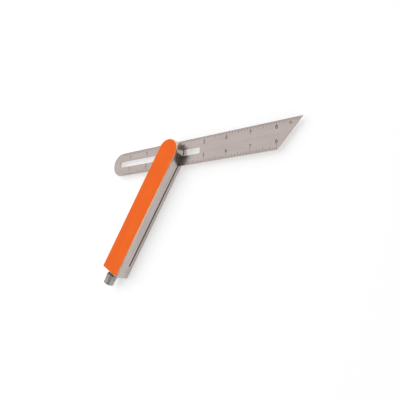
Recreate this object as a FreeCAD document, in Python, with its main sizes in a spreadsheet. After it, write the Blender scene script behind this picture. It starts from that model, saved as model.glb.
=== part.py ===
"""A sliding bevel: a slotted stock, a graduated blade that swings and slides, and a lock worked from the butt.

The frame is in millimetres. The origin is in the middle of the stock's back face. +Y runs along the stock
towards its round head, +Z from the back face to the front face, and +X to the side that the blade points to.
"""
import FreeCAD, Part
import math
import os
import re

import Sketcher

DRIVING_SIZES = {
    # stock: a rear cheek, the saw slot for the blade, and the deep front block that holds the lock
    "stock_length": 153.0,
    "stock_width": 25.0,
    "head_offset": 2.0,
    "cheek_depth": 4.6,
    "saw_gap": 1.5,
    "block_depth": 10.4,
    "butt_web": 11.4,
    "saw_radius": 31.5,
    "saw_overrun": 3.0,
    "front_chamfer": 0.8,
    "back_chamfer": 0.4,
    # coloured panel let into the front face
    "panel_depth": 0.6,
    "panel_border": 0.9,
    "panel_play": 0.04,
    # blade
    "blade_length": 226.8,
    "blade_width": 27.0,
    "blade_depth": 1.2,
    "tip_setback": 23.4,
    "blade_angle": 27.9,
    "pivot_station": 88.2,
    "slide_start": 10.8,
    "slide_end": 122.1,
    "slide_width": 7.0,
    "slide_corner": 1.5,
    # guide that fits the blade's slot and turns on the stud
    "guide_length": 9.0,
    "guide_depth": 1.1,
    "slide_play": 0.1,
    "turn_play": 0.08,
    # clamp stud on the pivot axis, with its nut, washer and disc spring in the back
    "stud_diameter": 5.0,
    "stud_play": 0.08,
    "stud_past_rod": 2.6,
    "stud_room": 0.6,
    "stud_drop": 0.35,
    "cross_hole": 2.5,
    "nut_diameter": 8.6,
    "nut_depth": 1.2,
    "nut_slot_width": 1.2,
    "nut_slot_depth": 0.5,
    "nut_room": 0.3,
    "nut_sink": 0.3,
    "washer_depth": 0.4,
    "disc_wall": 0.15,
    "clamp_play": 0.35,
    # push rod with its wedge point, and the spring that returns it
    "rod_lift": 3.5,
    "rod_diameter": 5.0,
    "rod_play": 0.08,
    "neck_diameter": 3.0,
    "neck_play": 0.15,
    "point_diameter": 1.0,
    "point_length": 3.0,
    "wedge_play": 0.05,
    "nose_reach": 9.0,
    "spring_length": 12.0,
    "spring_wire": 0.5,
    "spring_play": 0.3,
    "spring_turns": 4.0,
    # lock screw in its threaded insert, with a stop ring, a friction washer and the knob
    "screw_diameter": 6.0,
    "screw_play": 0.05,
    "screw_chamfer": 0.5,
    "screw_past_insert": 2.0,
    "screw_in_knob": 7.0,
    "push_gap": 0.05,
    "insert_diameter": 7.4,
    "insert_length": 7.6,
    "insert_play": 0.03,
    "pocket_room": 3.4,
    "ring_diameter": 7.0,
    "ring_depth": 0.6,
    "ring_bite": 0.5,
    "ring_play": 0.05,
    "ring_mouth": 2.4,
    "friction_diameter": 10.4,
    "friction_depth": 1.2,
    "friction_play": 0.15,
    "knob_gap": 2.8,
    "knob_length": 11.8,
    "knob_nose_diameter": 11.8,
    "knob_waist_diameter": 10.8,
    "knob_waist_offset": 6.5,
    "knob_diameter": 11.1,
    "knob_edge": 0.4,
    "knob_dome": 1.6,
    "flute_radius": 0.7,
    "flute_bite": 0.3,
    "pin_diameter": 1.5,
    "pin_offset": 4.0,
    "pin_sink": 0.4,
}
FLUTE_COUNT = 14

HALF_STOCK = "stock_width / 2"
STOCK_DEPTH = "(cheek_depth + saw_gap + block_depth)"
HEAD_CENTRE = "((stock_length - stock_width) / 2)"
PIVOT = f"({HEAD_CENTRE} - head_offset)"
BUTT = "(-stock_length / 2)"
ROD_HEIGHT = "(cheek_depth + saw_gap + rod_lift)"
HALF_BLADE = "blade_width / 2"
BLADE_HEIGHT = "(cheek_depth + (saw_gap - blade_depth) / 2)"
STUD_RADIUS = "stud_diameter / 2"
ROD_STEP = "(nose_reach + spring_length)"
COIL_RADIUS = "(neck_diameter / 2 + spring_play + spring_wire / 2)"
POINT_RADIUS = "point_diameter / 2"
NECK_RADIUS = "neck_diameter / 2"
POINT_SLOPE = f"(({NECK_RADIUS} - {POINT_RADIUS}) / point_length)"
POINT_ENTRY = f"(cross_hole / 2 - stud_drop - wedge_play - {POINT_RADIUS})"
POINT_PLACE = f"({POINT_ENTRY} / {POINT_SLOPE} - {STUD_RADIUS})"
NUT_FLOOR = "(nut_sink + nut_depth + disc_wall + clamp_play + washer_depth)"
SCREW_RADIUS = "screw_diameter / 2"
KNOB_RADIUS = "knob_diameter / 2"
PIN_PLACE = "(-knob_gap - pin_offset)"

START_INDEX, FINISH_INDEX, CENTRE_INDEX = 1, 2, 3
ORIGIN_POINT = (-1, 1)
X_AXIS_INDEX, Y_AXIS_INDEX = -1, -2
UP = FreeCAD.Vector(0, 0, 1)

doc = FreeCAD.newDocument("sliding_bevel")
sheet = doc.addObject("Spreadsheet::Sheet", "Sizes")
for row, (alias, amount) in enumerate(DRIVING_SIZES.items(), start=1):
    sheet.set(f"A{row}", alias)
    sheet.set(f"B{row}", str(amount))
    sheet.setAlias(f"B{row}", alias)
doc.recompute()


def qualified(text):
    """The expression with the sheet's name put before each driving size."""
    return re.sub(r"[a-z][a-z_]+", lambda word: f"Sizes.{word[0]}" if word[0] in DRIVING_SIZES else word[0], text)


def number(text):
    """The present value of an expression."""
    return float(sheet.evalExpression(qualified(text)))


def bind(feature, path, text):
    """Tie a property to an expression of driving sizes."""
    feature.setExpression(path, qualified(text))


def new_body(label, y="0", z="0"):
    """An empty body on the stock's centreline, at the given distance along it and height."""
    body = doc.addObject("PartDesign::Body", label)
    body.Label = label
    bind(body, "Placement.Base.y", y)
    bind(body, "Placement.Base.z", z)
    return body


def new_sketch(body, name, role, along="0", across="0", lift="0"):
    """A sketch on one of the body's own origin planes, with its origin moved within and off that plane."""
    plane = next(feature for feature in body.Origin.OriginFeatures if feature.Role == role)
    sketch = body.newObject("Sketcher::SketchObject", f"{body.Label}_{name}")
    sketch.AttachmentSupport = [(plane, "")]
    sketch.MapMode = "FlatFace"
    for axis, text in (("x", along), ("y", across), ("z", lift)):
        if text != "0":
            bind(sketch, f"AttachmentOffset.Base.{axis}", text)
    return sketch


def fix(sketch, kind, constraint_places, text):
    """Add a sized constraint and tie it to an expression."""
    index = sketch.addConstraint(Sketcher.Constraint(kind, *constraint_places, number(text)))
    bind(sketch, f"Constraints[{index}]", text)


def pin_point(sketch, side, point, x=None, y=None):
    """Hold a point of the sketch at expressions of its x and y."""
    for kind, axis, text in (("DistanceX", Y_AXIS_INDEX, x), ("DistanceY", X_AXIS_INDEX, y)):
        if text == "0":
            sketch.addConstraint(Sketcher.Constraint("PointOnObject", side, point, axis))
        elif text is not None:
            fix(sketch, kind, (*ORIGIN_POINT, side, point), text)


def outline(sketch, corners, arcs=()):
    """A closed outline through the corners.

    arcs maps the number of the corner where an arc starts to the arc's centre, its turning sense (1 is
    anticlockwise) and the coordinate of the centre that has to be held.
    """
    places = [FreeCAD.Vector(number(x), number(y), 0) for x, y in corners]
    sides = []
    for index, (here, there) in enumerate(zip(places, places[1:] + places[:1])):
        if index in arcs:
            centre_x, centre_y, turn, held = arcs[index]
            centre = FreeCAD.Vector(number(centre_x), number(centre_y), 0)
            circle = Part.Circle(centre, UP, (here - centre).Length)
            ends = [math.atan2(end.y - centre.y, end.x - centre.x) for end in (here, there)]
            side = sketch.addGeometry(Part.ArcOfCircle(circle, *ends[::turn]))
            held_at = {"x": centre_x} if held == "x" else {"y": centre_y}
            pin_point(sketch, side, CENTRE_INDEX, **held_at)
            sides.append((side, START_INDEX, FINISH_INDEX) if turn > 0 else (side, FINISH_INDEX, START_INDEX))
        else:
            sides.append((sketch.addGeometry(Part.LineSegment(here, there)), START_INDEX, FINISH_INDEX))
    for (side, start, finish), (next_side, next_start, _), (x, y) in zip(sides, sides[1:] + sides[:1], corners):
        sketch.addConstraint(Sketcher.Constraint("Coincident", side, finish, next_side, next_start))
        pin_point(sketch, side, start, x, y)


def round_hole(sketch, x, y, diameter):
    """A circle with its centre and diameter held."""
    circle = sketch.addGeometry(Part.Circle(FreeCAD.Vector(number(x), number(y), 0), UP, number(diameter) / 2))
    pin_point(sketch, circle, CENTRE_INDEX, x, y)
    fix(sketch, "Diameter", (circle,), diameter)


def pad(body, sketch, name, length):
    """Add the sketch's outline, raised by a length."""
    feature = body.newObject("PartDesign::Pad", f"{body.Label}_{name}")
    feature.Profile = sketch
    bind(feature, "Length", length)
    doc.recompute()
    return feature


def cut(body, sketch, name, length=None):
    """Cut the sketch's outline downwards by a length, or right through both ways."""
    before = body.Shape.Volume
    feature = body.newObject("PartDesign::Pocket", f"{body.Label}_{name}")
    feature.Profile = sketch
    if length is None:
        feature.Type = "ThroughAll"
        feature.Midplane = True
    else:
        bind(feature, "Length", length)
    doc.recompute()
    if not 0 < body.Shape.Volume < before:
        raise ValueError(f"{feature.Label} removes nothing or everything")
    return feature


def turned(body, sketch, name, axis, kind="PartDesign::Revolution"):
    """Turn the sketch's outline about one of the sketch's own axes, to add it or, as a Groove, to cut it."""
    before = body.Shape.Volume if kind == "PartDesign::Groove" else 0
    feature = body.newObject(kind, f"{body.Label}_{name}")
    feature.Profile = sketch
    feature.ReferenceAxis = (sketch, [axis])
    feature.Angle = 360
    doc.recompute()
    if kind == "PartDesign::Groove" and not 0 < body.Shape.Volume < before:
        raise ValueError(f"{feature.Label} removes nothing or everything")
    return feature


def ease_edges(body, name, kind, property_name, text, wanted):
    """A chamfer or fillet on the body's edges that the wanted test picks."""
    base = body.Tip
    edges = [f"Edge{index}" for index, edge in enumerate(base.Shape.Edges, start=1) if wanted(edge)]
    feature = body.newObject(kind, f"{body.Label}_{name}")
    feature.Base = (base, edges)
    bind(feature, property_name, text)
    doc.recompute()
    return feature


def lies_at(height):
    """A test for edges that lie wholly at a height."""
    return lambda edge: all(abs(vertex.Z - height) < 1e-6 for vertex in edge.Vertexes)


def is_upright(edge):
    """Whether an edge runs straight along Z."""
    return isinstance(edge.Curve, Part.Line) and abs(edge.Curve.Direction.z) > 0.999


def stock_outline(sketch, inset):
    """The stock's outline seen from the front, drawn in by an inset."""
    half = f"({HALF_STOCK} - {inset})"
    corners = [
        (f"-{half}", f"({BUTT} + {inset})"),
        (half, f"({BUTT} + {inset})"),
        (half, HEAD_CENTRE),
        (f"-{half}", HEAD_CENTRE),
    ]
    outline(sketch, corners, {2: ("0", HEAD_CENTRE, 1, "y")})


def saw_slot(body):
    """The slot for the blade, open at the head and both sides, with the round end that a slitting saw leaves."""
    reach = f"({HALF_STOCK} + saw_overrun)"
    web = f"({BUTT} + butt_web)"
    side = f"({web} + saw_radius - sqrt(saw_radius ^ 2 - {reach} ^ 2))"
    sketch = new_sketch(body, "saw_outline", "XY_Plane", lift="cheek_depth + saw_gap")
    corners = [
        (reach, side),
        (reach, "stock_length / 2 + saw_overrun"),
        (f"-{reach}", "stock_length / 2 + saw_overrun"),
        (f"-{reach}", side),
    ]
    outline(sketch, corners, {3: ("0", f"({web} + saw_radius)", 1, "y")})
    cut(body, sketch, "saw_cut", "saw_gap")


def rod_bores(body):
    """The stepped bore along the front block: insert pocket at the butt, rod bore, and nose at the pivot."""
    sketch = new_sketch(body, "rod_profile", "YZ_Plane", across=ROD_HEIGHT)
    pocket_end = f"({BUTT} + insert_length + pocket_room)"
    bore_end = f"({PIVOT} - nose_reach)"
    pocket_radius = "insert_diameter / 2"
    bore_radius = "(rod_diameter / 2 + rod_play)"
    nose_radius = f"({NECK_RADIUS} + neck_play)"
    corners = [
        (BUTT, "0"),
        (PIVOT, "0"),
        (PIVOT, nose_radius),
        (bore_end, nose_radius),
        (bore_end, bore_radius),
        (pocket_end, bore_radius),
        (pocket_end, pocket_radius),
        (BUTT, pocket_radius),
    ]
    outline(sketch, corners)
    turned(body, sketch, "rod_bore", "H_Axis", "PartDesign::Groove")


def stud_bores(body):
    """The blind bore for the clamp stud, with the counterbore for its nut in the back face."""
    sketch = new_sketch(body, "stud_profile", "YZ_Plane", along=PIVOT)
    counterbore = "(nut_diameter / 2 + nut_room)"
    bore = f"({STUD_RADIUS} + stud_play)"
    top = f"({ROD_HEIGHT} + stud_past_rod + stud_room)"
    corners = [
        ("0", "0"),
        (counterbore, "0"),
        (counterbore, NUT_FLOOR),
        (bore, NUT_FLOOR),
        (bore, top),
        ("0", top),
    ]
    outline(sketch, corners)
    turned(body, sketch, "stud_bore", "V_Axis", "PartDesign::Groove")


def make_stock():
    """The aluminium stock, milled from one bar."""
    body = new_body("stock_body")
    sketch = new_sketch(body, "plan", "XY_Plane")
    stock_outline(sketch, "0")
    pad(body, sketch, "bar", STOCK_DEPTH)
    front = lies_at(number(STOCK_DEPTH))
    ease_edges(body, "front_edge", "PartDesign::Chamfer", "Size", "front_chamfer", front)
    ease_edges(body, "back_edge", "PartDesign::Chamfer", "Size", "back_chamfer", lies_at(0))
    recess = new_sketch(body, "recess_outline", "XY_Plane", lift=STOCK_DEPTH)
    stock_outline(recess, "panel_border")
    cut(body, recess, "recess", "panel_depth")
    saw_slot(body)
    rod_bores(body)
    stud_bores(body)
    return body


def make_front_panel():
    """The coloured panel that lies flush in the stock's front face."""
    body = new_body("front_panel", z=f"{STOCK_DEPTH} - panel_depth")
    sketch = new_sketch(body, "plan", "XY_Plane")
    stock_outline(sketch, "(panel_border + panel_play)")
    pad(body, sketch, "plate", "panel_depth")
    return body


def make_blade():
    """The flat blade: one end round, the other cut to a point, with a long slot for the guide."""
    body = new_body("blade", y=PIVOT, z=BLADE_HEIGHT)
    bind(body, "Placement.Rotation.Angle", "blade_angle")
    sketch = new_sketch(body, "plan", "XY_Plane")
    round_centre = f"({HALF_BLADE} - pivot_station)"
    corners = [
        (round_centre, HALF_BLADE),
        (round_centre, f"-{HALF_BLADE}"),
        ("(blade_length - tip_setback - pivot_station)", f"-{HALF_BLADE}"),
        ("(blade_length - pivot_station)", HALF_BLADE),
    ]
    outline(sketch, corners, {0: (round_centre, "0", 1, "x")})
    pad(body, sketch, "plate", "blade_depth")
    slot = new_sketch(body, "slot_outline", "XY_Plane", lift="blade_depth")
    start, end = "(slide_start - pivot_station)", "(slide_end - pivot_station)"
    outline(slot, [
        (start, "-slide_width / 2"),
        (end, "-slide_width / 2"),
        (end, "slide_width / 2"),
        (start, "slide_width / 2"),
    ])
    cut(body, slot, "slot", "blade_depth")
    in_slot = lambda edge: is_upright(edge) and abs(edge.Vertexes[0].Y) < number("slide_width / 2") + 1e-6
    ease_edges(body, "slot_corners", "PartDesign::Fillet", "Radius", "slide_corner", in_slot)
    return body


def make_blade_guide():
    """The thin guide on the stud, with two flats that run along the sides of the blade's slot."""
    body = new_body("blade_guide", y=PIVOT, z="cheek_depth + (saw_gap - guide_depth) / 2")
    bind(body, "Placement.Rotation.Angle", "blade_angle")
    sketch = new_sketch(body, "plan", "XY_Plane")
    half_width = "(slide_width / 2 - slide_play)"
    flat_end = f"sqrt((guide_length / 2) ^ 2 - {half_width} ^ 2)"
    corners = [
        (f"-{flat_end}", f"-{half_width}"),
        (flat_end, f"-{half_width}"),
        (flat_end, half_width),
        (f"-{flat_end}", half_width),
    ]
    outline(sketch, corners, {1: ("0", "0", 1, "x"), 3: ("0", "0", 1, "x")})
    round_hole(sketch, "0", "0", "stud_diameter + 2 * turn_play")
    pad(body, sketch, "plate", "guide_depth")
    return body


def make_clamp_stud():
    """The stud on the pivot axis, with the cross hole that the rod's point draws it forward by."""
    body = new_body("clamp_stud", y=PIVOT)
    sketch = new_sketch(body, "section", "XY_Plane", lift="nut_sink")
    round_hole(sketch, "0", "0", "stud_diameter")
    pad(body, sketch, "shank", f"{ROD_HEIGHT} + stud_past_rod - nut_sink")
    cross = new_sketch(body, "cross_hole_outline", "XZ_Plane")
    round_hole(cross, "0", f"{ROD_HEIGHT} - stud_drop", "cross_hole")
    cut(body, cross, "cross_hole")
    return body


def ring(label, y, z, corners, axis):
    """A body turned from one closed profile, which lies clear of its axis."""
    body = new_body(label, y=y, z=z)
    sketch = new_sketch(body, "profile", "YZ_Plane")
    outline(sketch, corners)
    turned(body, sketch, "turned", axis)
    return body


def make_adjusting_nut():
    """The slotted round nut on the stud's back end, sunk in the counterbore."""
    outer = "nut_diameter / 2"
    corners = [(STUD_RADIUS, "0"), (outer, "0"), (outer, "nut_depth"), (STUD_RADIUS, "nut_depth")]
    body = ring("adjusting_nut", PIVOT, "nut_sink", corners, "V_Axis")
    slot = new_sketch(body, "slot_outline", "XY_Plane", lift="nut_slot_depth")
    half_width = "nut_slot_width / 2"
    outline(slot, [(f"-{outer}", f"-{half_width}"), (outer, f"-{half_width}"),
                   (outer, half_width), (f"-{outer}", half_width)])
    cut(body, slot, "slot", "nut_slot_depth")
    return body


def make_nut_washer():
    """The flat washer on the counterbore's floor."""
    inner, outer = f"({STUD_RADIUS} + stud_play)", "nut_diameter / 2"
    corners = [(inner, "0"), (outer, "0"), (outer, "washer_depth"), (inner, "washer_depth")]
    return ring("nut_washer", PIVOT, f"{NUT_FLOOR} - washer_depth", corners, "V_Axis")


def make_disc_spring():
    """The conical spring between nut and washer, which keeps a light drag on the blade when the lock is off."""
    inner, outer = f"({STUD_RADIUS} + stud_play)", "nut_diameter / 2"
    corners = [(inner, "clamp_play"), (outer, "0"), (outer, "disc_wall"), (inner, "(clamp_play + disc_wall)")]
    return ring("disc_spring", PIVOT, "nut_sink + nut_depth", corners, "V_Axis")


def make_push_rod():
    """The rod along the front block: a thick shank, a neck inside the spring, and a wedge point in the stud."""
    back = f"({BUTT} + insert_length + screw_past_insert + push_gap - {PIVOT})"
    radius = "rod_diameter / 2"
    point_base = f"({POINT_PLACE} - point_length)"
    corners = [
        (back, "0"),
        (POINT_PLACE, "0"),
        (POINT_PLACE, POINT_RADIUS),
        (point_base, NECK_RADIUS),
        (f"-{ROD_STEP}", NECK_RADIUS),
        (f"-{ROD_STEP}", radius),
        (back, radius),
    ]
    return ring("push_rod", PIVOT, ROD_HEIGHT, corners, "H_Axis")


def arc_under(start, control, finish):
    """The arc from start to finish whose end tangents meet at the control point."""
    middle = (start + finish) / 2
    half_chord = (finish - start).Length / 2
    half_turn = math.atan2((control - middle).Length, half_chord)
    crown = middle + (control - middle).normalize() * half_chord * math.tan(half_turn / 2)
    return Part.Arc(start, crown, finish).toShape()


def two_arcs(start, leaving, finish, arriving):
    """Two arcs that meet smoothly and keep the directions at both ends."""
    span = finish - start
    along = span.dot(leaving + arriving)
    spread = 2 * (1 - leaving.dot(arriving))
    reach = (math.sqrt(along ** 2 + spread * span.dot(span)) - along) / spread
    first_control, second_control = start + leaving * reach, finish - arriving * reach
    joint = (first_control + second_control) / 2
    return [arc_under(start, first_control, joint), arc_under(joint, second_control, finish)]


def make_return_spring():
    """The coil spring of square wire round the rod's neck, between the rod's step and the end of its bore."""
    radius = number(COIL_RADIUS)
    pitch = number("(spring_length - spring_wire - 2 * push_gap) / spring_turns")
    first = number(f"(spring_wire / 2 + push_gap - {ROD_STEP})")
    arcs, here = [], None
    for quarter in range(round(number("4 * spring_turns")) + 1):
        turn = quarter * math.pi / 2
        place = FreeCAD.Vector(radius * math.sin(turn), first + pitch * quarter / 4, radius * math.cos(turn))
        heading = FreeCAD.Vector(radius * math.cos(turn), pitch / (2 * math.pi), -radius * math.sin(turn))
        heading.normalize()
        if here:
            arcs += two_arcs(*here, place, heading)
        here = place, heading
    start, leaving = arcs[0].valueAt(arcs[0].FirstParameter), arcs[0].tangentAt(arcs[0].FirstParameter)
    outward = FreeCAD.Vector(0, 0, number("spring_wire / 2"))
    across = leaving.cross(outward)
    corners = [start + outward * rise + across * side for rise, side in ((1, 1), (-1, 1), (-1, -1), (1, -1))]
    section = Part.makePolygon(corners + corners[:1])
    spring = doc.addObject("Part::Feature", "return_spring")
    spring.Shape = Part.Wire(arcs).makePipeShell([section], True, False)
    bind(spring, "Placement.Base.y", PIVOT)
    bind(spring, "Placement.Base.z", ROD_HEIGHT)
    return spring


def make_lock_screw():
    """The lock screw, with a groove for its stop ring and a cross hole for the knob's pin."""
    inner_end, outer_end = "(insert_length + screw_past_insert)", "(-knob_gap - screw_in_knob)"
    groove_start, groove_end = "insert_length", "(insert_length + ring_depth + 2 * ring_play)"
    groove_radius = f"({SCREW_RADIUS} - ring_bite)"
    corners = [
        (outer_end, "0"),
        (inner_end, "0"),
        (inner_end, f"({SCREW_RADIUS} - screw_chamfer)"),
        (f"({inner_end} - screw_chamfer)", SCREW_RADIUS),
        (groove_end, SCREW_RADIUS),
        (groove_end, groove_radius),
        (groove_start, groove_radius),
        (groove_start, SCREW_RADIUS),
        (f"({outer_end} + screw_chamfer)", SCREW_RADIUS),
        (outer_end, f"({SCREW_RADIUS} - screw_chamfer)"),
    ]
    body = ring("lock_screw", BUTT, ROD_HEIGHT, corners, "H_Axis")
    cross = new_sketch(body, "pin_hole_outline", "YZ_Plane")
    round_hole(cross, PIN_PLACE, "0", "pin_diameter")
    cut(body, cross, "pin_hole")
    return body


def make_threaded_insert():
    """The brass insert pressed into the butt, which carries the lock screw's thread."""
    inner, outer = f"({SCREW_RADIUS} + screw_play)", "(insert_diameter / 2 - insert_play)"
    corners = [("0", inner), ("insert_length", inner), ("insert_length", outer), ("0", outer)]
    return ring("threaded_insert", BUTT, ROD_HEIGHT, corners, "H_Axis")


def make_stop_ring():
    """The open ring on the screw behind the insert, which stops the screw from being turned right out."""
    inner, outer = f"({SCREW_RADIUS} - ring_bite)", "ring_diameter / 2"
    start, end = "(insert_length + ring_play)", "(insert_length + ring_play + ring_depth)"
    corners = [(start, inner), (end, inner), (end, outer), (start, outer)]
    body = ring("stop_ring", BUTT, ROD_HEIGHT, corners, "H_Axis")
    mouth = new_sketch(body, "mouth_outline", "YZ_Plane", lift="ring_mouth / 2")
    reach = "(ring_diameter / 2 + ring_play)"
    outline(mouth, [("insert_length", "-" + reach), (f"({end} + ring_play)", "-" + reach),
                    (f"({end} + ring_play)", "0"), ("insert_length", "0")])
    cut(body, mouth, "mouth", "ring_mouth")
    return body


def make_friction_washer():
    """The dark washer on the butt's end face, round the screw."""
    inner, outer = f"({SCREW_RADIUS} + friction_play)", "friction_diameter / 2"
    corners = [("-friction_depth", inner), ("0", inner), ("0", outer), ("-friction_depth", outer)]
    return ring("friction_washer", BUTT, ROD_HEIGHT, corners, "H_Axis")


def make_lock_knob():
    """The fluted knob with a slight waist and a domed end."""
    body = new_body("lock_knob", y=BUTT, z=ROD_HEIGHT)
    sketch = new_sketch(body, "profile", "YZ_Plane")
    nose, waist = "(-knob_gap)", "(-knob_gap - knob_waist_offset)"
    end = "(-knob_gap - knob_length)"
    dome_base = f"({end} + knob_dome)"
    dome_radius = f"(({KNOB_RADIUS}) ^ 2 + knob_dome ^ 2) / (2 * knob_dome)"
    hole_end = "(-knob_gap - screw_in_knob)"
    corners = [
        (nose, SCREW_RADIUS),
        (nose, "(knob_nose_diameter / 2 - knob_edge)"),
        (f"({nose} - knob_edge)", "knob_nose_diameter / 2"),
        (waist, "knob_waist_diameter / 2"),
        (dome_base, KNOB_RADIUS),
        (end, "0"),
        (hole_end, "0"),
        (hole_end, SCREW_RADIUS),
    ]
    outline(sketch, corners, {4: (f"({end} + {dome_radius})", "0", 1, "y")})
    turned(body, sketch, "turned", "H_Axis")
    pin_hole = new_sketch(body, "pin_hole_outline", "YZ_Plane")
    round_hole(pin_hole, PIN_PLACE, "0", "pin_diameter")
    cut(body, pin_hole, "pin_hole")
    flute_sketch = new_sketch(body, "flute_outline", "XZ_Plane")
    round_hole(flute_sketch, "0", f"{KNOB_RADIUS} + flute_radius - flute_bite", "2 * flute_radius")
    flute = cut(body, flute_sketch, "flute")
    flutes = body.newObject("PartDesign::PolarPattern", "lock_knob_flutes")
    flutes.Originals = [flute]
    flutes.Axis = (flute_sketch, ["N_Axis"])
    flutes.Angle = 360
    flutes.Occurrences = FLUTE_COUNT
    body.Tip = flutes
    doc.recompute()
    return body


def make_knob_pin():
    """The pin through knob and screw, its ends just under the knob's surface."""
    body = new_body("knob_pin", y=f"{BUTT} + {PIN_PLACE}", z=ROD_HEIGHT)
    half_length = f"({KNOB_RADIUS} - pin_sink)"
    sketch = new_sketch(body, "section", "YZ_Plane", lift=f"-{half_length}")
    round_hole(sketch, "0", "0", "pin_diameter")
    pad(body, sketch, "pin", f"2 * {half_length}")
    return body


def check(objects, sub_parts):
    """Stop if any feature has failed or any sub-part is not one sound solid."""
    for item in objects:
        if {"Invalid", "Error"} & set(item.State):
            raise ValueError(f"{item.Label} has failed: {item.State}")
    for sub_part in sub_parts:
        shape = sub_part.Shape
        if shape.isNull() or not shape.isValid() or len(shape.Solids) != 1:
            raise ValueError(f"{sub_part.Label} is not one sound solid")
        print(f"{sub_part.Label:18s} {shape.Volume:10.2f} mm3")


makers = [
    make_stock,
    make_front_panel,
    make_blade,
    make_blade_guide,
    make_clamp_stud,
    make_adjusting_nut,
    make_nut_washer,
    make_disc_spring,
    make_push_rod,
    make_return_spring,
    make_lock_screw,
    make_threaded_insert,
    make_stop_ring,
    make_friction_washer,
    make_lock_knob,
    make_knob_pin,
]
sub_parts = [make() for make in makers]
doc.recompute()
check(doc.Objects, sub_parts)

os.makedirs("parts", exist_ok=True)
for sub_part in sub_parts:
    sub_part.Shape.exportStep(f"parts/{sub_part.Label}.step")
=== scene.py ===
"""The looks of a sliding bevel: brushed stock and blade, an orange face, inch marks and a fluted knob.

Everything is in metres, in the part's own frame. The heights of the blade's and the stock's top faces are
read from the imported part's boxes.
"""
import math

import bmesh
import bpy
from mathutils import Matrix, Vector


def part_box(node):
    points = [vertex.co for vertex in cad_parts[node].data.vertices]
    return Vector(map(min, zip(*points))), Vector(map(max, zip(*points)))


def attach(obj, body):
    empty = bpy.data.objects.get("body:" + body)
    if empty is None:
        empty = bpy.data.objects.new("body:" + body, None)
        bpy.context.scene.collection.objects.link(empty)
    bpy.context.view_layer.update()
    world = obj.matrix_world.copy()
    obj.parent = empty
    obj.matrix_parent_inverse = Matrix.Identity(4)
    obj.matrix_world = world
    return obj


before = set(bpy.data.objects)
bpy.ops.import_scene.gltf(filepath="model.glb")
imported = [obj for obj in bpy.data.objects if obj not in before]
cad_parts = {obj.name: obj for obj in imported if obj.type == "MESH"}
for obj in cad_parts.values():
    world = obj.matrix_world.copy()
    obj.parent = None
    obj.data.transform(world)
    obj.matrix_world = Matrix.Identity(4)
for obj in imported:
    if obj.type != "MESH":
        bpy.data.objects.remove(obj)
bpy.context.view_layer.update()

MM = 0.001
BLADE_ANGLE = math.radians(27.9)
ALONG = Vector((math.cos(BLADE_ANGLE), math.sin(BLADE_ANGLE), 0))
ACROSS = Vector((-math.sin(BLADE_ANGLE), math.cos(BLADE_ANGLE), 0))
PIVOT = Vector((0, 0.062, 0))
PIVOT_STATION = 88.2 * MM
BLADE_WIDTH = 27.0 * MM
BLADE_LENGTH = 226.8 * MM
TIP_SETBACK = 23.4 * MM
BLADE_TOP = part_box("blade")[1].z
INCH = 25.4 * MM

CAMERA_PLACE = Vector((0.2731, 0.0528, 0.28935))
CAMERA_AIM = Vector((-0.604, -0.053, -0.795))
CAMERA_UP = Vector((-0.379, 0.897, 0.228))
CAMERA_LENS = 33.57

STOCK_GREY = (0.57, 0.505, 0.475, 1)
# Full-bright peach for the rim round the front face: partly the bare machined metal, partly a painted
# highlight.
CHAMFER_METAL_AND_HIGHLIGHT = (1.0, 0.76, 0.58, 1)
BLADE_GREY = (0.455, 0.395, 0.373, 1)
ORANGE = (0.90, 0.155, 0.018, 1)
KNOB_GREY = (0.50, 0.485, 0.475, 1)
STEEL_GREY = (0.42, 0.41, 0.40, 1)
BRASS = (0.62, 0.43, 0.17, 1)
WASHER_BROWN = (0.045, 0.016, 0.008, 1)
FLOOR_SIZE = 40
FLOOR_GAP = 0.02 * MM
FLOOR_GLOW = 0.42
SKY_LOW, SKY_HIGH = 1.0, 0.4
FADE_SPAN = (0.3, 0.6)
DARK_PATCH = Vector((0.604, -0.053, 0.795))
PATCH_SPAN = (0.72, 0.93)
SOFTBOX_PLACE, SOFTBOX_AIM = (-0.7, -0.05, 0.8), (-0.7, -0.05, 0)
SOFTBOX_SIZE, SOFTBOX_POWER = 1.4, 4.9
STRIP_PLACE, STRIP_AIM = (0.78, -0.15, 0.62), (0, 0, 0)
STRIP_SIZE, STRIP_POWER = 0.35, 0.4
MARK_DARK = (0.085, 0.065, 0.055, 1)


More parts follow.
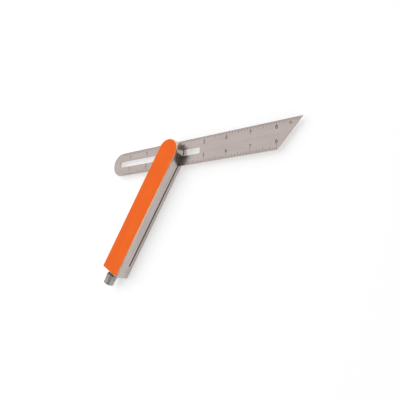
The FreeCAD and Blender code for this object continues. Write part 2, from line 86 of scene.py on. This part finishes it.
class Finish:
    """A new node material with its main shader, and short calls to add and join nodes."""

    def __init__(self, name):
        self.material = bpy.data.materials.new(name)
        self.material.use_nodes = True
        self.tree = self.material.node_tree
        self.shader = self.tree.nodes["Principled BSDF"]

    def add(self, kind, **settings):
        """A new node with its settings."""
        node = self.tree.nodes.new(kind)
        for name, setting in settings.items():
            setattr(node, name, setting)
        return node

    def join(self, source, target):
        """Link one node's output to another's input."""
        self.tree.links.new(source, target)

    def grain(self, scale, stretch, turn=0.0, *, detail):
        """Noise stretched along one direction of the part, as brushing leaves it."""
        place = self.add("ShaderNodeTexCoord")
        mapping = self.add("ShaderNodeMapping")
        mapping.vector_type = "TEXTURE"
        mapping.inputs["Rotation"].default_value = (0, 0, turn)
        mapping.inputs["Scale"].default_value = stretch
        noise = self.add("ShaderNodeTexNoise")
        noise.inputs["Scale"].default_value = scale
        noise.inputs["Detail"].default_value = detail
        self.join(place.outputs["Object"], mapping.inputs["Vector"])
        self.join(mapping.outputs["Vector"], noise.inputs["Vector"])
        return noise.outputs["Fac"]

    def spread(self, factor, low, high, middle=(0.3, 0.7)):
        """The factor's middle range spread out to run from low to high."""
        spread = self.add("ShaderNodeMapRange")
        spread.inputs["From Min"].default_value, spread.inputs["From Max"].default_value = middle
        spread.inputs["To Min"].default_value, spread.inputs["To Max"].default_value = low, high
        self.join(factor, spread.inputs["Value"])
        return spread.outputs["Result"]

    def tint(self, factor, first, second):
        """A colour that runs from the first to the second with the factor."""
        mix = self.add("ShaderNodeMix", data_type="RGBA")
        self.join(factor, mix.inputs["Factor"])
        mix.inputs[6].default_value = first
        mix.inputs[7].default_value = second
        return mix.outputs[2]

    def paint(self, factor, first, second):
        """Colour the surface from the first to the second tone, as the factor's middle range rises."""
        self.join(self.tint(self.spread(factor, 0, 1), first, second), self.shader.inputs["Base Color"])

    def bump(self, height, strength, distance):
        """Make the surface uneven by a height."""
        bump = self.add("ShaderNodeBump")
        bump.inputs["Strength"].default_value = strength
        bump.inputs["Distance"].default_value = distance
        self.join(height, bump.inputs["Height"])
        self.join(bump.outputs["Normal"], self.shader.inputs["Normal"])


def brushed(name, colour, darker, turn, roughness):
    """Metal with a fine brushed grain that runs along one direction of the part."""
    finish = Finish(name)
    shader = finish.shader
    shader.inputs["Metallic"].default_value = 1.0
    shader.inputs["Anisotropic"].default_value = 0.35
    fine_grain = finish.grain(9000, (60, 1, 1), turn, detail=3)
    broad_grain = finish.grain(160, (6, 1, 1), turn, detail=4)
    finish.paint(broad_grain, darker, colour)
    finish.join(finish.spread(fine_grain, *roughness), shader.inputs["Roughness"])
    finish.bump(fine_grain, 0.25, 0.00003)
    return finish


def shade(colour, amount):
    """A colour made lighter or darker by a factor."""
    return (*[channel * amount for channel in colour[:3]], 1)


def stock_finish():
    """Grey brushed aluminium, with the bare machined rim round the front face painted bright peach: partly
    bare metal, partly a painted highlight.
    """
    finish = brushed("stock_metal", STOCK_GREY, shade(STOCK_GREY, 0.86), math.radians(90), (0.22, 0.36))
    place = finish.add("ShaderNodeTexCoord")
    height = finish.add("ShaderNodeSeparateXYZ")
    finish.join(place.outputs["Object"], height.inputs["Vector"])
    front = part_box("stock_body")[1].z
    # The top band of the stock round the front face gets the peach colour, a painted highlight over the bare
    # rim.
    at_rim_highlight = finish.spread(height.outputs["Z"], 0, 1, (front - 0.95 * MM, front - 0.8 * MM))
    grain = finish.shader.inputs["Base Color"].links[0].from_socket
    mix = finish.add("ShaderNodeMix", data_type="RGBA")
    finish.join(at_rim_highlight, mix.inputs["Factor"])
    finish.join(grain, mix.inputs[6])
    mix.inputs[7].default_value = CHAMFER_METAL_AND_HIGHLIGHT
    finish.join(mix.outputs[2], finish.shader.inputs["Base Color"])
    return finish.material


def panel_finish():
    """Satin orange over brushed aluminium."""
    finish = Finish("orange_panel")
    shader = finish.shader
    shader.inputs["Metallic"].default_value = 0.9
    fine_grain = finish.grain(5000, (40, 1, 1), math.radians(90), detail=3)
    cloud = finish.grain(70, (2, 1, 1), math.radians(90), detail=3)
    finish.paint(cloud, shade(ORANGE, 0.93), ORANGE)
    finish.join(finish.spread(fine_grain, 0.42, 0.55), shader.inputs["Roughness"])
    finish.bump(fine_grain, 0.2, 0.00002)
    return finish.material


def turned_metal(name, colour, roughness):
    """Small turned parts: metal with faint tool marks."""
    finish = Finish(name)
    shader = finish.shader
    shader.inputs["Metallic"].default_value = 1.0
    marks = finish.grain(2500, (1, 1, 1), detail=5)
    finish.paint(marks, shade(colour, 0.85), colour)
    finish.join(finish.spread(marks, *roughness), shader.inputs["Roughness"])
    finish.bump(marks, 0.15, 0.00002)
    return finish.material


def knob_finish():
    """Grey anodised aluminium with a soft satin sheen."""
    finish = Finish("knob_metal")
    shader = finish.shader
    shader.inputs["Metallic"].default_value = 0.75
    marks = finish.grain(1800, (1, 3, 1), detail=4)
    finish.paint(marks, shade(KNOB_GREY, 0.8), KNOB_GREY)
    finish.join(finish.spread(marks, 0.38, 0.52), shader.inputs["Roughness"])
    finish.bump(marks, 0.15, 0.00002)
    return finish.material


def washer_finish():
    """Dark brown fibre."""
    finish = Finish("dark_washer")
    fibres = finish.grain(4000, (1, 1, 1), detail=6)
    finish.paint(fibres, shade(WASHER_BROWN, 0.6), WASHER_BROWN)
    finish.join(finish.spread(fibres, 0.6, 0.85), finish.shader.inputs["Roughness"])
    finish.bump(fibres, 0.3, 0.00003)
    return finish.material


def mark_finish():
    """The dark filling of the engraved marks and numbers."""
    finish = Finish("mark_ink")
    wear = finish.grain(6000, (1, 1, 1), detail=4)
    finish.paint(wear, MARK_DARK, shade(MARK_DARK, 1.8))
    finish.join(finish.spread(wear, 0.5, 0.75), finish.shader.inputs["Roughness"])
    return finish.material


def dress(node, material):
    """Give a CAD node its material."""
    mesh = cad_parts[node].data
    mesh.materials.clear()
    mesh.materials.append(material)


def dress_cad():
    """Give every CAD node the finish of its material."""
    steel = turned_metal("steel_parts", STEEL_GREY, (0.3, 0.45))
    brass = turned_metal("brass_parts", BRASS, (0.28, 0.42))
    dress("stock_body", stock_finish())
    dress("front_panel", panel_finish())
    blade = brushed("blade_steel", BLADE_GREY, shade(BLADE_GREY, 0.9), BLADE_ANGLE, (0.2, 0.34))
    dress("blade", blade.material)
    dress("friction_washer", washer_finish())
    dress("lock_knob", knob_finish())
    for node in ("blade_guide", "threaded_insert"):
        dress(node, brass)
    for node in ("clamp_stud", "adjusting_nut", "nut_washer", "disc_spring", "push_rod", "return_spring",
                 "lock_screw", "stop_ring", "knob_pin"):
        dress(node, steel)


TICK_WIDTH = 0.32 * MM
TICK_RISE = 0.012 * MM
TICK_SUNK = 0.05 * MM
TICKS_PER_INCH = 16
TICK_LENGTHS = {1: 5.2 * MM, 2: 4.0 * MM, 4: 3.2 * MM, 8: 2.6 * MM, 16: 1.9 * MM}
TICK_INSET = 0.15 * MM
FIRST_TICK = 14.5 * MM
DIGIT_SIZE = 5.0 * MM
DIGIT_SWELL = 0.04 * MM
UPPER_DIGITS = 7.35 * MM
LOWER_DIGITS = -6.15 * MM
INCHES = range(1, 9)
FRACTION_PLACE = (8.5 * INCH, 8.9 * MM)
FRACTION_SIZE = 3.2 * MM


def blade_point(station, offset, height):
    """The place of a point by its distances from the blade's round end, its centreline and its top face."""
    return PIVOT + ALONG * (station - PIVOT_STATION) + ACROSS * offset + Vector((0, 0, BLADE_TOP + height))


def edge_station_limit(offset):
    """How far along the blade the slanted end lies at a distance from the centreline."""
    return BLADE_LENGTH - TIP_SETBACK * (BLADE_WIDTH / 2 - offset) / BLADE_WIDTH


def add_tick(mesh, station, start, end):
    """A thin sunk bar across the blade between two distances from its centreline."""
    corners = []
    for height in (-TICK_SUNK, TICK_RISE):
        for side, offset in ((-1, start), (1, start), (1, end), (-1, end)):
            corners.append(mesh.verts.new(blade_point(station + side * TICK_WIDTH / 2, offset, height)))
    bottom, top = corners[:4], corners[4:]
    mesh.faces.new(bottom[::-1])
    mesh.faces.new(top)
    for index in range(4):
        after = (index + 1) % 4
        mesh.faces.new((bottom[index], bottom[after], top[after], top[index]))


def tick_length(count):
    """The length of a tick, by the coarsest fraction of an inch that it falls on."""
    for parts in sorted(TICK_LENGTHS):
        if count % (TICKS_PER_INCH // parts) == 0:
            return TICK_LENGTHS[parts]


def finish_mesh(name, mesh, material, body):
    """Turn a bmesh into an object with a material that rides on a body."""
    bmesh.ops.recalc_face_normals(mesh, faces=mesh.faces)
    data = bpy.data.meshes.new(name)
    mesh.to_mesh(data)
    mesh.free()
    data.materials.append(material)
    piece = bpy.data.objects.new(name, data)
    bpy.context.collection.objects.link(piece)
    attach(piece, body)


def blade_marks(material):
    """Inch ticks along both edges of the blade."""
    mesh = bmesh.new()
    for side in (1, -1):
        edge = side * (BLADE_WIDTH / 2 - TICK_INSET)
        count = math.ceil(FIRST_TICK / INCH * TICKS_PER_INCH)
        while True:
            station = count * INCH / TICKS_PER_INCH
            inner = edge - side * tick_length(count)
            if station > min(edge_station_limit(edge), edge_station_limit(inner)) - TICK_WIDTH:
                break
            add_tick(mesh, station, *sorted((edge, inner)))
            count += 1
    finish_mesh("blade_ticks", mesh, material, "blade")


def number_mesh(name, words, size, station, offset):
    """The mesh of a short flat number, sunk into the blade at a station and an offset from its centreline."""
    text = bpy.data.curves.new(name, "FONT")
    text.body = words
    text.size = size
    text.align_x, text.align_y = "CENTER", "CENTER"
    text.extrude = TICK_SUNK
    text.offset = DIGIT_SWELL
    label = bpy.data.objects.new(name, text)
    turn = Matrix.Rotation(BLADE_ANGLE, 4, "Z")
    label.matrix_world = Matrix.Translation(blade_point(station, offset, TICK_RISE - TICK_SUNK)) @ turn
    bpy.context.collection.objects.link(label)
    bpy.context.view_layer.update()
    data = bpy.data.meshes.new_from_object(label)
    data.transform(label.matrix_world)
    bpy.data.objects.remove(label)
    return data


def blade_numbers(material):
    """The inch numbers beside both rows of ticks, and how finely the inches are divided."""
    mesh = bmesh.new()
    for row, offset in (("upper", UPPER_DIGITS), ("lower", LOWER_DIGITS)):
        for inch in INCHES:
            mesh.from_mesh(number_mesh(f"{row}_{inch}", str(inch), DIGIT_SIZE, inch * INCH, offset))
    mesh.from_mesh(number_mesh("fraction", str(TICKS_PER_INCH), FRACTION_SIZE, *FRACTION_PLACE))
    finish_mesh("blade_numbers", mesh, material, "blade")


def make_camera():
    """The camera at the photograph's place and angle."""
    data = bpy.data.cameras.new("camera")
    data.lens = CAMERA_LENS
    data.sensor_width = 36
    data.clip_start = 0.01
    camera = bpy.data.objects.new("camera", data)
    bpy.context.collection.objects.link(camera)
    back = -CAMERA_AIM.normalized()
    right = CAMERA_UP.cross(back).normalized()
    up = back.cross(right)
    turn = Matrix((right, up, back)).transposed().to_4x4()
    camera.matrix_world = Matrix.Translation(CAMERA_PLACE) @ turn
    bpy.context.scene.camera = camera


def area_light(name, place, target, size, power):
    """A soft square light that faces a target."""
    data = bpy.data.lights.new(name, "AREA")
    data.shape = "SQUARE"
    data.size = size
    data.energy = power
    light = bpy.data.objects.new(name, data)
    bpy.context.collection.objects.link(light)
    place, target = Vector(place), Vector(target)
    light.location = place
    light.rotation_mode = "QUATERNION"
    light.rotation_quaternion = (target - place).to_track_quat("-Z", "Y")


def make_floor():
    """A pale floor that glows a little, so that it stays white round the soft shadows."""
    floor_mesh = bmesh.new()
    bmesh.ops.create_grid(floor_mesh, x_segments=1, y_segments=1, size=FLOOR_SIZE)
    data = bpy.data.meshes.new("floor")
    floor_mesh.to_mesh(data)
    floor_mesh.free()
    floor = bpy.data.objects.new("floor", data)
    floor.location.z = -FLOOR_GAP
    bpy.context.collection.objects.link(floor)
    paper = Finish("floor_paper")
    paper.shader.inputs["Base Color"].default_value = (0.93, 0.93, 0.93, 1)
    paper.shader.inputs["Roughness"].default_value = 0.9
    paper.shader.inputs["Specular IOR Level"].default_value = 0.0
    paper.shader.inputs["Emission Color"].default_value = (1, 1, 1, 1)
    paper.shader.inputs["Emission Strength"].default_value = FLOOR_GLOW
    data.materials.append(paper.material)


def sky_ramp(nodes, span, levels):
    """A sky node that runs between two levels while its input crosses a span."""
    ramp = nodes.new("ShaderNodeMapRange")
    ramp.inputs["From Min"].default_value, ramp.inputs["From Max"].default_value = span
    ramp.inputs["To Min"].default_value, ramp.inputs["To Max"].default_value = levels
    return ramp


def make_sky():
    """A white sky with a bright horizon, dimmer above, and a dark patch high on the right."""
    sky = bpy.data.worlds.new("studio")
    sky.use_nodes = True
    bpy.context.scene.world = sky
    nodes, links = sky.node_tree.nodes, sky.node_tree.links
    direction = nodes.new("ShaderNodeTexCoord")
    height = nodes.new("ShaderNodeSeparateXYZ")
    links.new(direction.outputs["Generated"], height.inputs["Vector"])
    fade = sky_ramp(nodes, FADE_SPAN, (SKY_LOW, SKY_HIGH))
    links.new(height.outputs["Z"], fade.inputs["Value"])
    nearness = nodes.new("ShaderNodeVectorMath")
    nearness.operation = "DOT_PRODUCT"
    nearness.inputs[1].default_value = DARK_PATCH
    links.new(direction.outputs["Generated"], nearness.inputs[0])
    flag = sky_ramp(nodes, PATCH_SPAN, (1.0, 0.0))
    links.new(nearness.outputs["Value"], flag.inputs["Value"])
    strength = nodes.new("ShaderNodeMath")
    strength.operation = "MULTIPLY"
    links.new(fade.outputs["Result"], strength.inputs[0])
    links.new(flag.outputs["Result"], strength.inputs[1])
    links.new(strength.outputs["Value"], nodes["Background"].inputs["Strength"])
    nodes["Background"].inputs["Color"].default_value = (1, 1, 1, 1)


def make_studio():
    """The floor, the sky and two soft lights."""
    make_floor()
    make_sky()
    area_light("softbox", SOFTBOX_PLACE, SOFTBOX_AIM, SOFTBOX_SIZE, SOFTBOX_POWER)
    area_light("strip", STRIP_PLACE, STRIP_AIM, STRIP_SIZE, STRIP_POWER)
    bpy.context.scene.view_settings.view_transform = "Standard"


dress_cad()
ink = mark_finish()
blade_marks(ink)
blade_numbers(ink)
make_camera()
make_studio()
